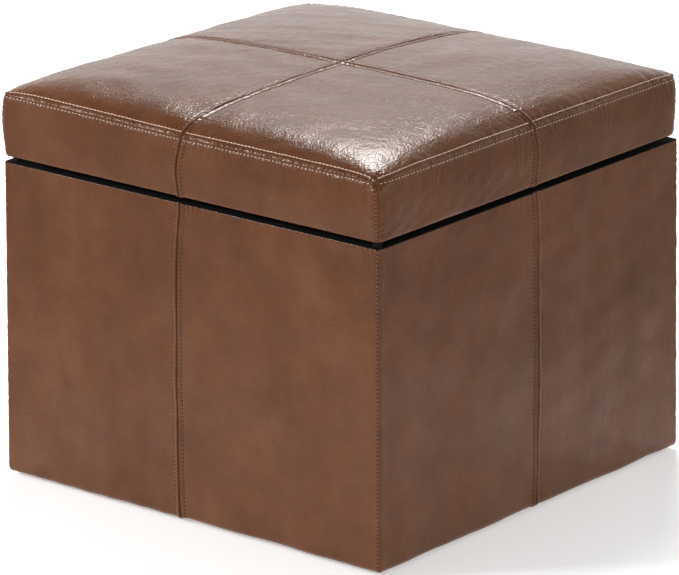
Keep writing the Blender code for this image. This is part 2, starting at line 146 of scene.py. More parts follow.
def bump(x, centre, width):
    return np.exp(-(((x - centre) / width) ** 2))


class Waves:
    """Smooth seeded noise of one or two variables: a sum of sine waves, mostly within -1 to 1."""

    def __init__(self, seed, wavelength, count=14, spread=0.45, stretch=1.0):
        rng = np.random.default_rng(seed)
        size = 2 * math.pi / (wavelength * np.exp(rng.normal(0, spread, count)))
        angle = rng.uniform(0, 2 * math.pi, count)
        self.kx, self.ky = size * np.cos(angle), size * np.sin(angle) / stretch
        self.phase = rng.uniform(0, 2 * math.pi, count)
        self.line = size
        self.scale = 1.4 / math.sqrt(count)

    def __call__(self, x, y=None):
        x = np.asarray(x, float)
        if y is None:
            waves = np.sin(x[..., None] * self.line + self.phase)
        else:
            waves = np.sin(x[..., None] * self.kx + np.asarray(y, float)[..., None] * self.ky + self.phase)
        return waves.sum(-1) * self.scale


def graded(start, end, fine, coarse, reach):
    """Positions from start to end, fine apart at both ends and growing to coarse apart in the middle."""
    places, x = [start], start
    while x < end:
        room = min(x - start, end - x)
        x += fine + (coarse - fine) * min(max(room / reach, 0.0), 1.0)
        places.append(x)
    places = np.array(places)
    return start + (places - start) * (end - start) / (places[-1] - start)


def both_ways(half):
    """Places from -end to end, from those between 0 and end."""
    return np.concatenate([-half[:0:-1], half])


def cell_of(line, x):
    """The cell of a rising line that x is in, and how far along the cell it is."""
    x = np.clip(x, line[0], line[-1])
    i = np.clip(np.searchsorted(line, x) - 1, 0, len(line) - 2)
    return i, (x - line[i]) / (line[i + 1] - line[i])


def between(net, columns, rows, x, y):
    """A net's values at places between its own columns and rows."""
    i, u = cell_of(columns, x)
    j, v = cell_of(rows, y)
    u, v = (w.reshape(w.shape + (1,) * (net.ndim - 2)) for w in (u, v))
    low = net[j, i] * (1 - u) + net[j, i + 1] * u
    high = net[j + 1, i] * (1 - u) + net[j + 1, i + 1] * u
    return low * (1 - v) + high * v


class Panel:
    """A net of surface points over parameters s (columns) and t (rows), with its normals.

    The normals and faces of a panel whose flip is true are turned over.
    """

    def __init__(self, s, t, points, flip=False):
        self.s, self.t, self.points, self.flip = s, t, points, flip
        self.normals = normals_of(points) * (-1 if flip else 1)

    def raised(self, height):
        return Panel(self.s, self.t, self.points + self.normals * height[..., None], self.flip)

    def at(self, s, t):
        """Points and normals at parameter values, between the net's own points."""
        points, normals = (between(net, self.s, self.t, s, t) for net in (self.points, self.normals))
        return points, normals / np.linalg.norm(normals, axis=-1, keepdims=True)


def normals_of(points):
    along = np.gradient(points, axis=1)
    up = np.gradient(points, axis=0)
    normal = np.cross(along, up)
    return normal / np.maximum(np.linalg.norm(normal, axis=-1, keepdims=True), 1e-12)


def mesh_object(name, vertices, faces, material):
    mesh = bpy.data.meshes.new(name)
    mesh.from_pydata(vertices.tolist(), [], faces if isinstance(faces, list) else faces.tolist())
    mesh.materials.append(material)
    mesh.shade_smooth()
    mesh.update()
    obj = bpy.data.objects.new(name, mesh)
    bpy.context.scene.collection.objects.link(obj)
    return obj


def grid_faces(rows, columns, flip=False):
    j, i = np.mgrid[0:rows - 1, 0:columns - 1]
    a = (j * columns + i).ravel()
    faces = np.stack([a, a + 1, a + columns + 1, a + columns], -1)
    return faces[:, ::-1] if flip else faces


def panel_object(name, panel, material):
    faces = grid_faces(len(panel.t), len(panel.s), panel.flip)
    return mesh_object(name, panel.points.reshape(-1, 3), faces, material)


def thicken(obj, thickness, offset):
    solid = obj.modifiers.new("Thickness", "SOLIDIFY")
    solid.thickness, solid.offset = thickness, offset


def set_stops(ramp, stops):
    while len(ramp.elements) < len(stops):
        ramp.elements.new(0.5)
    for element, (position, colour) in zip(ramp.elements, stops):
        element.position = position
        element.color = (*colour, 1.0)


# Materials -------------------------------------------------


class Nodes:
    """A short way to write a material's node tree."""

    def __init__(self, name):
        self.material = bpy.data.materials.new(name)
        self.material.use_nodes = True
        self.tree = self.material.node_tree
        self.shader = self.tree.nodes["Principled BSDF"]
        place = self.tree.nodes.new("ShaderNodeTexCoord")
        self.place = place.outputs["Object"]

    def add(self, kind, **inputs):
        node = self.tree.nodes.new(kind)
        for name, value in inputs.items():
            self.set(node, name.replace("_", " "), value)
        return node

    def set(self, node, socket, value):
        target = node.inputs[int(socket[1:])] if socket[0] == "#" else node.inputs[socket]
        if isinstance(value, bpy.types.NodeSocket):
            self.tree.links.new(value, target)
        else:
            target.default_value = value

    def mapped(self, scale):
        node = self.add("ShaderNodeMapping", Vector=self.place)
        node.inputs["Scale"].default_value = scale
        return node.outputs["Vector"]

    def noise(self, scale, detail=4.0, roughness=0.55, vector=None, distortion=0.0):
        node = self.add("ShaderNodeTexNoise", Vector=vector or self.place, Scale=scale, Detail=detail,
                        Roughness=roughness, Distortion=distortion)
        return node.outputs["Fac"]

    def cells(self, scale, feature="F1"):
        node = self.add("ShaderNodeTexVoronoi", Vector=self.place, Scale=scale)
        node.feature = feature
        return node.outputs["Distance"]

    def wave(self, scale, vector=None, distortion=0.0, bands="X"):
        vector = vector or self.place
        node = self.add("ShaderNodeTexWave", Vector=vector, Scale=scale, Distortion=distortion)
        node.bands_direction = bands
        return node.outputs["Fac"]

    def math(self, operation, a, b=0.5):
        node = self.tree.nodes.new("ShaderNodeMath")
        node.operation = operation
        self.set(node, "#0", a)
        self.set(node, "#1", b)
        return node.outputs[0]

    def ramp(self, value, stops):
        node = self.add("ShaderNodeValToRGB", Fac=value)
        set_stops(node.color_ramp, stops)
        return node.outputs["Color"]

    def range(self, value, low, high, out_low, out_high):
        node = self.add("ShaderNodeMapRange", Value=value)
        for socket, number in zip(range(1, 5), (low, high, out_low, out_high)):
            node.inputs[socket].default_value = number
        return node.outputs["Result"]

    def mix(self, factor, a, b):
        node = self.tree.nodes.new("ShaderNodeMix")
        node.data_type = "RGBA"
        self.set(node, "Factor", factor)
        self.set(node, "#6", a if isinstance(a, bpy.types.NodeSocket) else (*a, 1.0))
        self.set(node, "#7", b if isinstance(b, bpy.types.NodeSocket) else (*b, 1.0))
        return node.outputs[2]

    def bumps(self, *layers):
        """Stacks bump layers of (height, strength, distance in metres)."""
        normal = None
        for height, strength, distance in layers:
            node = self.add("ShaderNodeBump", Height=height, Strength=strength, Distance=distance)
            if normal:
                self.set(node, "Normal", normal)
            normal = node.outputs["Normal"]
        self.set(self.shader, "Normal", normal)

    def finish(self, **values):
        for name, value in values.items():
            self.set(self.shader, name.replace("_", " "), value)
        return self.material


def leather_material():
    """Brown pull-up leather: cloudy colour, pebble grain, fine wrinkles and a semi-gloss finish."""
    n = Nodes("brown_leather")
    clouds = n.noise(9.0, 3.0, 0.5)
    patches = n.noise(30.0, 4.0, 0.6)
    tone = n.math("ADD", n.math("MULTIPLY", clouds, 0.52), n.math("MULTIPLY", patches, 0.48))
    colour = n.ramp(tone, [(0.32, LEATHER_DARK), (0.50, LEATHER_MID), (0.68, LEATHER_LIGHT)])
    grain = n.cells(540.0, "SMOOTH_F1")
    wrinkle = n.noise(300.0, 5.0, 0.62, distortion=0.6)
    fine = n.noise(2600.0, 2.0, 0.6)
    creases = n.cells(130.0, "DISTANCE_TO_EDGE")
    crease_line = n.range(creases, 0.0, 0.10, 0.0, 1.0)
    # Painted shade: up to 8% of a darker brown along the crease lines, where their recess is in shade
    colour = n.mix(n.range(crease_line, 0.0, 1.0, 0.08, 0.0), colour, LEATHER_CREASE_SHADE)
    rough = n.range(n.noise(48.0, 4.0, 0.6), 0.25, 0.75, 0.18, 0.27)
    n.bumps((patches, 0.10, 1.2 * MM), (wrinkle, 0.17, 0.9 * MM), (crease_line, 0.10, 0.3 * MM),
            (grain, 0.8, 0.4 * MM), (fine, 0.15, 0.1 * MM))
    return n.finish(Base_Color=colour, Roughness=rough, Specular_IOR_Level=0.265, Coat_Weight=0.05,
                    Specular_Tint=(1.0, 0.93, 0.86, 1.0), Coat_Roughness=0.28, Coat_IOR=1.45)


def thread_material(name, dark, light):
    n = Nodes(name)
    twist = n.wave(420.0, distortion=1.0, bands="DIAGONAL")
    colour = n.mix(twist, dark, light)
    n.bumps((twist, 0.35, 0.2 * MM))
    return n.finish(Base_Color=colour, Roughness=0.38, Sheen_Weight=0.2, Sheen_Roughness=0.4)


# Painted shade: near-black marks at the gaps between stitches stand in for the shade where the thread goes
# down into the leather
def hole_shade_material():
    n = Nodes("needle_hole_shade")
    fibres = n.noise(1800.0, 3.0, 0.6)
    n.bumps((fibres, 0.3, 0.2 * MM))
    return n.finish(Base_Color=n.mix(fibres, (0.010, 0.004, 0.002), (0.03, 0.011, 0.005)), Roughness=0.8,
                    Specular_IOR_Level=0.15)


def cloth_material(name, dark, light):
    n = Nodes(name)
    along_x, along_y, along_z, across = (n.wave(900.0, bands=way) for way in ("X", "Y", "Z", "DIAGONAL"))
    weave, upright = n.math("MULTIPLY", along_x, along_y), n.math("MULTIPLY", along_z, across)
    threads = n.math("ADD", weave, upright)
    fibres = n.noise(650.0, 5.0, 0.7)
    lint = n.noise(38.0, 3.0, 0.6)
    colour = n.mix(n.math("MULTIPLY", fibres, lint), dark, light)
    n.bumps((threads, 0.35, 0.3 * MM), (fibres, 0.3, 0.2 * MM))
    rough = n.range(lint, 0.3, 0.7, 0.85, 0.98)
    return n.finish(Base_Color=colour, Roughness=rough, Specular_IOR_Level=0.1)


def foam_material():
    n = Nodes("seat_foam")
    cells = n.cells(900.0)
    colour = n.mix(n.noise(60.0), (0.70, 0.62, 0.40), (0.82, 0.76, 0.55))
    n.bumps((cells, 0.5, 0.5 * MM))
    return n.finish(Base_Color=colour, Roughness=0.93)


def fibre_material():
    n = Nodes("fibre_wadding")
    strands = n.noise(420.0, 6.0, 0.75, distortion=1.2)
    colour = n.mix(strands, (0.72, 0.72, 0.70), (0.88, 0.88, 0.86))
    n.bumps((strands, 0.6, 0.6 * MM))
    return n.finish(Base_Color=colour, Roughness=0.97)


def wood_material():
    n = Nodes("raw_plywood")
    grain = n.wave(70.0, vector=n.mapped((1.0, 6.0, 6.0)), distortion=7.0, bands="Y")
    pores = n.noise(300.0, 3.0, 0.6, vector=n.mapped((0.15, 1.0, 1.0)))
    colour = n.mix(grain, (0.52, 0.35, 0.19), (0.66, 0.48, 0.29))
    colour = n.mix(n.range(pores, 0.55, 0.75, 0.0, 0.5), colour, (0.30, 0.18, 0.09))
    n.bumps((pores, 0.3, 0.2 * MM))
    return n.finish(Base_Color=colour, Roughness=n.range(grain, 0.0, 1.0, 0.62, 0.78))


def steel_material():
    """Zinc-plated steel with rolling lines and a little tarnish."""
    n = Nodes("zinc_plated_steel")
    lines = n.noise(900.0, 2.0, 0.5, vector=n.mapped((1.0, 0.04, 0.04)))
    tarnish = n.noise(55.0, 4.0, 0.65)
    colour = n.mix(n.range(tarnish, 0.35, 0.7, 0.0, 1.0), (0.66, 0.66, 0.64), (0.46, 0.45, 0.42))
    rough = n.math("ADD", n.range(lines, 0.3, 0.7, 0.16, 0.26), n.range(tarnish, 0.3, 0.7, 0.06, 0.16))
    n.bumps((lines, 0.12, 0.1 * MM))
    return n.finish(Base_Color=colour, Roughness=rough, Metallic=1.0)


def moulded_material(name, colour, speck, roughness, specular):
    n = Nodes(name)
    texture = n.noise(1400.0, 3.0, 0.6)
    worn = n.noise(90.0, 3.0, 0.6)
    n.bumps((texture, 0.25, 0.1 * MM))
    return n.finish(Base_Color=n.mix(worn, colour, speck), Roughness=n.range(worn, 0.3, 0.7, *roughness),
                    Specular_IOR_Level=specular)


MATERIALS = {
    "leather": leather_material(),
    "pale_thread": thread_material("edge_topstitch_thread", (0.50, 0.33, 0.24), (0.80, 0.60, 0.48)),
    "thread": thread_material("seam_thread", (0.10, 0.042, 0.020), (0.30, 0.15, 0.09)),
    "hole_shade": hole_shade_material(),
    "black_cloth": cloth_material("black_lining_cloth", (0.0035, 0.0035, 0.004), (0.012, 0.012, 0.013)),
    "foam": foam_material(),
    "fibre": fibre_material(),
    "wood": wood_material(),
    "zinc_steel": steel_material(),
    "rubber": moulded_material("black_rubber", (0.006, 0.006, 0.0055), (0.014, 0.013, 0.012),
                               (0.8, 0.95), 0.15),
    "plastic": moulded_material("black_plastic", (0.02, 0.018, 0.016), (0.035, 0.032, 0.03),
                                (0.38, 0.55), 0.5),
}


# Leather surfaces ------------------------------------------


def seam_wander(quarter, z):
    """How far a side's hand-sewn middle seam strays from the middle at a height."""
    knots = {0: (-11, -13.4, -13, -7, -9.5, -11, -5), 1: (5, 8.4, 7, 5, 2, 5, 0),
             2: (3, 1, -2, -3, -2, 1, 0), 3: (-4, -2, 1, 3, 2, -1, 0)}[quarter]
    heights = (BOX_LOW, 0.45 * BOX_TOP, 0.86 * BOX_TOP, BOX_TOP, LID_LOW, 0.5 * (LID_LOW + ROW_Z), ROW_Z)
    fine = np.linspace(heights[0], heights[-1], 160)
    values = np.interp(fine, heights, knots)
    soft = np.convolve(np.pad(values, 5, mode="edge"), np.ones(11) / 11, mode="valid")
    return np.interp(z, fine, soft) * MM


def rolled_seam(distance, along, depth=0.9 * MM, allowance=1.0 * MM):
    """Height of leather beside a seam: turned in at it, raised over its allowance, and level beyond."""
    turned_in = -(depth + allowance) * np.exp(-((distance / (0.7 * MM)) ** 1.6))
    raised = allowance * (0.6 + 0.4 * bump(distance, 1.7 * MM, 0.9 * MM))
    raised *= 1 - smoothstep(4.4 * MM, 5.8 * MM, distance)
    ripple = Waves(11, 7 * MM)(along) * 0.16 * MM * bump(distance, 2.4 * MM, 1.8 * MM)
    return turned_in + raised + ripple


def stitch_valley(distance, along, offset, pitch=SEAM_STITCH[0], depth=0.75 * MM):
    """The thread pulls the leather down along its row, deepest where it goes through."""
    pull = 0.65 + 0.35 * np.cos(2 * math.pi * along / pitch)
    return -depth * bump(distance, offset, 0.8 * MM) * pull


def seam_relief(s, t, to_corner, hand):
    """Height of a half side's leather at its middle seam, its corner seam and their stitch rows."""
    height = rolled_seam(s, t) + rolled_seam(to_corner, t, *CORNER_SEAM) + stitch_valley(s, t, ROW_OFFSET)
    return height + stitch_valley(to_corner, t, CORNER_ROW) if hand > 0 else height


def puckers(seed, along, away, pitch, reach, size, patchy=60 * MM):
    """Ridges at right angles to a line, where its stitching gathers the leather."""
    drift = Waves(seed + 1, 40 * MM)(along) * 0.35
    ridge = Waves(seed, pitch, count=18, spread=0.35)(along + away * drift)
    patches = 0.35 + 0.65 * smoothstep(-0.6, 0.9, Waves(seed + 2, patchy)(along))
    return size * ridge * patches * np.exp(-((away / reach) ** 1.2))


def wrinkles(seed, along, away, reach, size):
    """Fine short wrinkles where leather is drawn over an edge."""
    fine = Waves(seed, 3.4 * MM, count=30, spread=0.5, stretch=2.6)(along, away)
    return size * fine * np.exp(-((away / reach) ** 1.5))


def bend(centre, radius, start, end, steps=7):
    """Points on an arc in the (inset, z) plane, between two angles in degrees."""
    return [(centre[0] + radius * math.cos(math.radians(a)), centre[1] + radius * math.sin(math.radians(a)))
            for a in np.linspace(start, end, steps)]


def straight(a, b, fine, coarse, reach):
    """Points inside a straight run from a to b, leaving out both ends."""
    length = math.dist(a, b)
    return [(a[0] + (b[0] - a[0]) * u, a[1] + (b[1] - a[1]) * u)
            for u in graded(0.0, length, fine, coarse, reach)[1:-1] / length]


def box_profile():
    """The box leather's section: under the box, up the side, over the rim and down inside."""
    low, high, r, rim, q = BOX_LOW, BOX_TOP, BOX_BEND, RIM_BEND, INNER_BEND
    under = bend((r, low + r), r, 270, 180)
    over = bend((rim, high - rim), rim, 180, 90)
    inside = bend((RIM_IN - q, high - q), q, 90, 0, 6)
    path = [(BOX_LIP, low)] + straight((BOX_LIP, low), under[0], 2 * MM, 4 * MM, 8 * MM) + under
    path += straight(under[-1], over[0], 1.2 * MM, 4.5 * MM, 50 * MM) + over
    path += straight(over[-1], inside[0], 1.2 * MM, 1.6 * MM, 4 * MM) + inside
    end = (RIM_IN, high - RIM_DROP)
    return np.array(path + straight(inside[-1], end, 2 * MM, 4 * MM, 8 * MM) + [end])


def band_profile():
    """The lid strip's section, as (inset, z) under the lid and (0, z) up its side to where it rolls in."""
    low, r = LID_LOW, LID_BEND
    under = bend((r, low + r), r, 270, 180)
    path = [(LID_LIP, low)] + straight((LID_LIP, low), under[0], 2 * MM, 4 * MM, 8 * MM) + under
    end = (0.0, TURN_Z)
    return np.array(path + straight(under[-1], end, 1.0 * MM, 1.3 * MM, 12 * MM) + [end])


def lengths(path):
    return np.concatenate([[0.0], np.cumsum(np.linalg.norm(np.diff(path, axis=0), axis=1))])


def round_side(s, inset, z, corner, wander):
    """The place in plan of points s along a side and inset from it, carried round the corner's arc."""
    end = HALF - corner + corner * math.pi / 4
    s = wander + s * (end - wander) / end
    angle = np.clip((s - (HALF - corner)) / corner, 0, math.pi / 4)
    reach = np.maximum(corner - inset, 0)
    centre = HALF - corner
    x = np.where(angle > 0, centre + reach * np.sin(angle), s)
    y = np.where(angle > 0, -centre - reach * np.cos(angle), -HALF + inset)
    mitred = s / end * (HALF - inset)
    share = smoothstep(0.25 * corner, corner, inset)
    return np.stack([x * (1 - share) + mitred * share, y * (1 - share) + (-HALF + inset) * share, z], -1)


def spread(profile, s):
    """The nets of s, t, inset and z for a section that is drawn along a side."""
    s_net, t_net = np.meshgrid(s, lengths(profile))
    inset, z = (np.repeat(profile[:, i][:, None], len(s), 1) for i in (0, 1))
    return s_net, t_net, inset, z


def side_panel(profile, corner, quarter, hand, coarse):
    """A half side's bare net, before it is mirrored and turned."""
    end = HALF - corner + corner * math.pi / 4
    s = np.concatenate([np.arange(0.0, 7 * MM, 0.45 * MM),
                        graded(7.2 * MM, 14 * MM, 0.5 * MM, 0.9 * MM, 3 * MM)[:-1],
                        graded(14 * MM, end - 12 * MM, 0.9 * MM, coarse, 20 * MM)[:-1],
                        graded(end - 12 * MM, end, 0.5 * MM, 0.9 * MM, 5 * MM)])
    s_net, t_net, inset, z = spread(profile, s)
    points = round_side(s_net, inset, z, corner, hand * seam_wander(quarter, z))
    return points, s_net, t_net, inset, z, end


def placed(points, quarter, hand):
    """Mirrors a half side's points where its hand is -1, and turns them to their own side of the box."""
    turn = np.array(Matrix.Rotation(quarter * math.pi / 2, 3, "Z"))
    return (points * np.array([hand, 1, 1])) @ turn.T


def box_leather(quarter, hand, seed):
    """One half side of the box's leather, with its seams, rim puckers and slow waves."""
    points, s, t, inset, z, end = side_panel(box_profile(), BOX_CORNER, quarter, hand, 1.7 * MM)
    points[..., :2] *= 1 + BOX_FLARE / HALF * (1 - points[..., 2:] / BOX_TOP)
    panel = Panel(s[0], t[:, 0], points)
    below_rim, to_corner = np.maximum(BOX_TOP - z, 0), end - s
    on_face = smoothstep(0.0, 12 * MM, below_rim)
    visible = 1 - smoothstep(RIM_IN - 4 * MM, RIM_IN, inset)
    tight = smoothstep(2 * MM, 45 * MM, to_corner)
    height = seam_relief(s, t, to_corner, hand)
    height += 0.40 * MM * Waves(seed, 95 * MM)(s, t) * on_face * tight
    height += 0.05 * MM * Waves(seed + 1, 30 * MM)(s, t) * on_face * tight
    creased = np.clip(0.7 + 0.5 * Waves(seed + 4, 45 * MM)(s), 0.1, 1.3)
    height += wrinkles(seed + 3, s, np.abs(below_rim - 2 * MM), 12 * MM, 0.15 * MM) * creased
    rim = np.abs(below_rim - 1.5 * MM)
    near_seams = 0.25 + np.exp(-s / (22 * MM)) + 0.8 * np.exp(-to_corner / (14 * MM))
    height += puckers(seed + 2, s, rim, 7 * MM, 9 * MM, 0.30 * MM) * near_seams * visible
    height += puckers(seed + 6, s, rim, 16 * MM, 26 * MM, 0.22 * MM) * near_seams * visible
    height += puckers(seed + 9, t, s, 9 * MM, 13 * MM, 0.10 * MM) * on_face
    height += puckers(seed + 13, t, to_corner, 8 * MM, 10 * MM, 0.08 * MM) * on_face
    under_tape = smoothstep(0.5 * RIM_BEND, 1.5 * RIM_BEND, inset) * (z > BOX_TOP / 2)
    panel = panel.raised(height * (1 - under_tape) - 0.15 * MM * under_tape)
    return Panel(panel.s, panel.t, placed(panel.points, quarter, hand), flip=hand < 0)


def crown_share(inset, near_share=0.7):
    """The share of its full height that the crown has reached at a distance in from the lid's side."""
    inset = np.maximum(inset, 0)
    inset = np.sqrt(inset * (inset + 2 * ROLL))
    near, far = np.exp(-inset / CROWN_NEAR), np.exp(-inset / CROWN_FAR)
    return near_share * (1 - near) + (1 - near_share) * (1 - far)


SECTION_IN = HALF * np.linspace(0, 1, 500) ** 2.4
SECTION_UP = (CROWN_Z - TURN_Z) * crown_share(SECTION_IN) / crown_share(HALF)
SECTION_RUN = lengths(np.stack([SECTION_IN, SECTION_UP], -1))
RUN = SECTION_RUN[-1]  # from the lid's middle, over the leather, to where its side turns upright


def edge_share(ax, ay, across):
    """How much of the crown is gained near the edge that ax (across 0) or ay (across 1) runs to."""
    a, along = ((ax, ay), (ay, ax))[across]
    low, high = (("left", "right"), ("front", "rear"))[across]
    shares = [np.interp(along, (-RUN, 0, RUN), EDGE_SHARE[name]) for name in (low, high)]
    return np.where(a < 0, *shares)


def corner_at(sign_x, sign_y):
    """The radius in plan of the lid's corner in a quarter of it."""
    front = np.where(sign_x > 0, LID_CORNERS["front", "right"], LID_CORNERS["front", "left"])
    rear = np.where(sign_x > 0, LID_CORNERS["rear", "right"], LID_CORNERS["rear", "left"])
    return np.where(sign_y > 0, rear, front)


def lid_surface(ax, ay, corner):
    """The lid's bare surface. ax and ay run over the leather from the middle, and on down the sides."""
    insets, shares = [], []
    for across, a in enumerate((ax, ay)):
        inset = np.interp(np.maximum(RUN - np.abs(a), 0), SECTION_RUN, SECTION_IN)
        near_share = edge_share(ax, ay, across)
        insets.append(inset)
        shares.append(np.maximum(crown_share(inset, near_share) / crown_share(HALF, near_share), 1e-6))
    down = np.maximum(np.maximum(np.abs(ax), np.abs(ay)) - RUN, 0)
    px, py = np.maximum(corner - insets[0], 0), np.maximum(corner - insets[1], 0)
    long = np.maximum(np.hypot(px, py), 1e-9)
    ring = np.maximum(px, py)
    inner = HALF - corner
    in_corner = (px > 0) & (py > 0)
    x = np.where(in_corner, inner + ring * px / long, HALF - insets[0]) * np.sign(ax)
    y = np.where(in_corner, inner + ring * py / long, HALF - insets[1]) * np.sign(ay)
    share = (shares[0] ** -0.5 + shares[1] ** -0.5 - 1) ** -2
    return np.stack([x, y, TURN_Z + (CROWN_Z - TURN_Z) * share - down], -1)


def settled(points):
    """Moves three of the lid's corners off its even shape."""
    points = points.copy()
    x, y, z = points[..., 0], points[..., 1], points[..., 2]
    upper = np.clip((z - LID_LOW - LID_BEND) / (TURN_Z - LID_LOW - LID_BEND), 0, 1)
    lifted = FRONT_LEFT_LIFT * upper * smoothstep(-0.1, 1.0, -x / HALF) * smoothstep(-0.1, 1.0, -y / HALF)
    sunk = REAR_LEFT_DROP * upper * bump(np.hypot(x + HALF, y - HALF), 0, 40 * MM)
    drawn = bump(np.hypot(x - HALF, y + HALF), 0, 15 * MM) * bump(z, TURN_Z + 3 * MM, 8 * MM)
    left, back, down = FRONT_RIGHT_DRAW
    points[..., 0] -= left * drawn
    points[..., 1] += back * drawn
    points[..., 2] += lifted - sunk - down * drawn
    return points


def gathers(quarter, place):
    """Beads of leather between the two edge rows, along a side, from 0 to about 1."""
    drift = place + Waves(900 + quarter, 30 * MM)(place) * 1.3 * MM
    beads = 0.5 + 0.5 * np.cos(2 * math.pi * drift / GATHER_PITCH)
    return beads * np.clip(0.75 + 0.5 * Waves(910 + quarter, 9 * MM)(place), 0.1, 1.5)


def pucker_strength(quarter, hand, s, end):
    """How strongly the lid's edge rows gather the leather, along each half side."""
    middle, corner = np.exp(-s / (45 * MM)), np.exp(-(end - s) / (60 * MM))
    low, mid, far = {(0, 1): (0.8, 0.8, 1.3), (0, -1): (0.45, 0.7, 0.1), (1, -1): (0.2, 0.2, 0.5),
                     (1, 1): (0.2, 0.2, 0.1)}.get((quarter, hand), (0.2, 0.3, 0.1))
    patches = 0.8 + 0.35 * Waves(61 + 7 * quarter + hand, 55 * MM)(s)
    return np.clip((low + mid * middle + far * corner) * patches, 0.05, 1.6)


def band_leather(side, end_name, quarter, hand, seed, swell):
    """One half side of the lid's boxing strip."""
    corner = LID_CORNERS.get((side, end_name)) or LID_CORNERS[end_name, side]
    points, s_net, t_net, _, _, end = side_panel(band_profile(), corner, quarter, hand, 1.1 * MM)
    s, t = s_net[0], t_net[:, 0]
    rolled = np.linspace(0, SEAM_RISE, 8)[1:]
    t = np.concatenate([t, t[-1] + rolled])
    stray = hand * seam_wander(quarter, ROW_Z)
    moved = stray + s * (end - stray) / end
    angle = np.clip((moved - (HALF - corner)) / corner, 0, math.pi / 4)
    inset = np.where(angle > 0, corner * (1 - np.tan(angle)), HALF - np.abs(moved))
    along = RUN - np.interp(inset, SECTION_IN, SECTION_RUN)
    along = np.where(moved < 0, -along, along)
    roll = [lid_surface(along, np.full_like(along, up - RUN), corner) for up in rolled]
    panel = Panel(s, t, np.concatenate([points, np.stack(roll)]))
    s, t = np.meshgrid(s, t)
    share = np.clip((panel.points[..., 2] - LID_LOW) / (TURN_Z - LID_LOW), 0, 1)
    on_side = smoothstep(0.0, 0.10, share)
    outward = BULGE[side] * np.sin(math.pi * share ** 1.35) ** 0.8
    panel = panel.raised((outward + swell(placed(panel.points, quarter, hand))) * on_side)
    below_seam, to_corner = panel.t[-1] - t, end - s
    strength = pucker_strength(quarter, hand, s, end)
    beads = gathers(quarter, hand * panel.points[..., 0]) * strength
    height = seam_relief(s, t, to_corner, hand)
    height += stitch_valley(below_seam, s, EDGE_ROW, LOWER_STITCH[0], 0.45 * MM)
    height += 0.75 * MM * beads * bump(below_seam, 0.4 * MM, 3.0 * MM)
    height += 0.30 * MM * beads * bump(below_seam, EDGE_ROW + 2.4 * MM, 1.5 * MM)
    height += puckers(seed + 4, s, below_seam, 5.5 * MM, 11 * MM, 0.34 * MM, 45 * MM) * strength
    height += puckers(seed + 7, s, below_seam, 12 * MM, 24 * MM, 0.20 * MM)
    height += puckers(seed + 10, t, s, 7 * MM, 11 * MM, 0.16 * MM) * on_side
    height += puckers(seed + 14, t, to_corner, 7 * MM, 9 * MM, 0.14 * MM) * on_side
    height += 0.20 * MM * Waves(seed, 60 * MM)(s, t) * on_side
    height += wrinkles(seed + 15, s, below_seam, 11 * MM, 0.09 * MM) * (0.35 + strength)
    if {side, end_name} == {"front", "right"}:
        height += 2.0 * MM * bump(to_corner, 1.5 * MM, 3.2 * MM) * bump(below_seam, 10 * MM, 3.2 * MM)
    points = settled(placed(panel.raised(height).points, quarter, hand))
    return Panel(panel.s, panel.t, points, flip=hand < 0)


def top_leather(sign_x, sign_y, seed, swell):
    """One of the lid's four top panels, from the cross seam out to the edge seam."""
    edge = RUN - SEAM_RISE
    line = np.concatenate([graded(0.0, 14 * MM, 0.5 * MM, 1.0 * MM, 5 * MM)[:-1],
                           graded(14 * MM, edge - 26 * MM, 1.0 * MM, 2.6 * MM, 30 * MM)[:-1],
                           graded(edge - 26 * MM, edge, 0.55 * MM, 1.1 * MM, 9 * MM)])
    a, b = np.meshgrid(line, line)
    points = lid_surface(sign_x * a, sign_y * b, corner_at(sign_x, sign_y))
    if sign_y < 0:
        stray = seam_wander(0, ROW_Z) * np.exp(-np.maximum(edge - b, 0) / (45 * MM))
        points[..., 0] += stray * np.clip(1 - a / HALF, 0, 1)
    panel = Panel(line, line, points, flip=sign_x * sign_y < 0)
    panel = panel.raised(swell(panel.points))
    height = 0.25 * MM * Waves(seed + 40, 70 * MM)(a, b) + 0.06 * MM * Waves(seed + 41, 18 * MM)(a, b)
    side = (1, sign_y) if sign_x > 0 else (3, -sign_y)
    end = (0, sign_x) if sign_y < 0 else (2, -sign_x)
    for seam, run, away, pick, (quarter, hand) in ((a, b, edge - a, 0, side), (b, a, edge - b, 20, end)):
        place = hand * np.abs(points[..., quarter % 2])
        beads = gathers(quarter, place) * pucker_strength(quarter, hand, run, edge)
        past_row = np.maximum(away - EDGE_ROW, 0)
        height += 0.75 * MM * beads * bump(away, -0.4 * MM, 3.0 * MM)
        height += rolled_seam(seam, run, *CROSS_SEAM) + stitch_valley(seam, run, ROW_OFFSET)
        height -= 1.0 * MM * np.exp(-seam / (16 * MM))
        height += stitch_valley(away, run, EDGE_ROW, EDGE_STITCH[0], 0.35 * MM)
        height += puckers(seed + pick, run, seam, 9 * MM, 14 * MM, 0.12 * MM)
        height += puckers(seed + pick + 4, run, past_row, 6 * MM, 16 * MM, 0.08 * MM)
        height += puckers(seed + pick + 8, run, past_row, 14 * MM, 36 * MM, 0.10 * MM)
        height += wrinkles(seed + pick + 5, run, past_row, 34 * MM, 0.05 * MM)
    return Panel(line, line, settled(panel.raised(height).points), panel.flip)


# The lid's cushion, swollen by a cloth simulation ----------


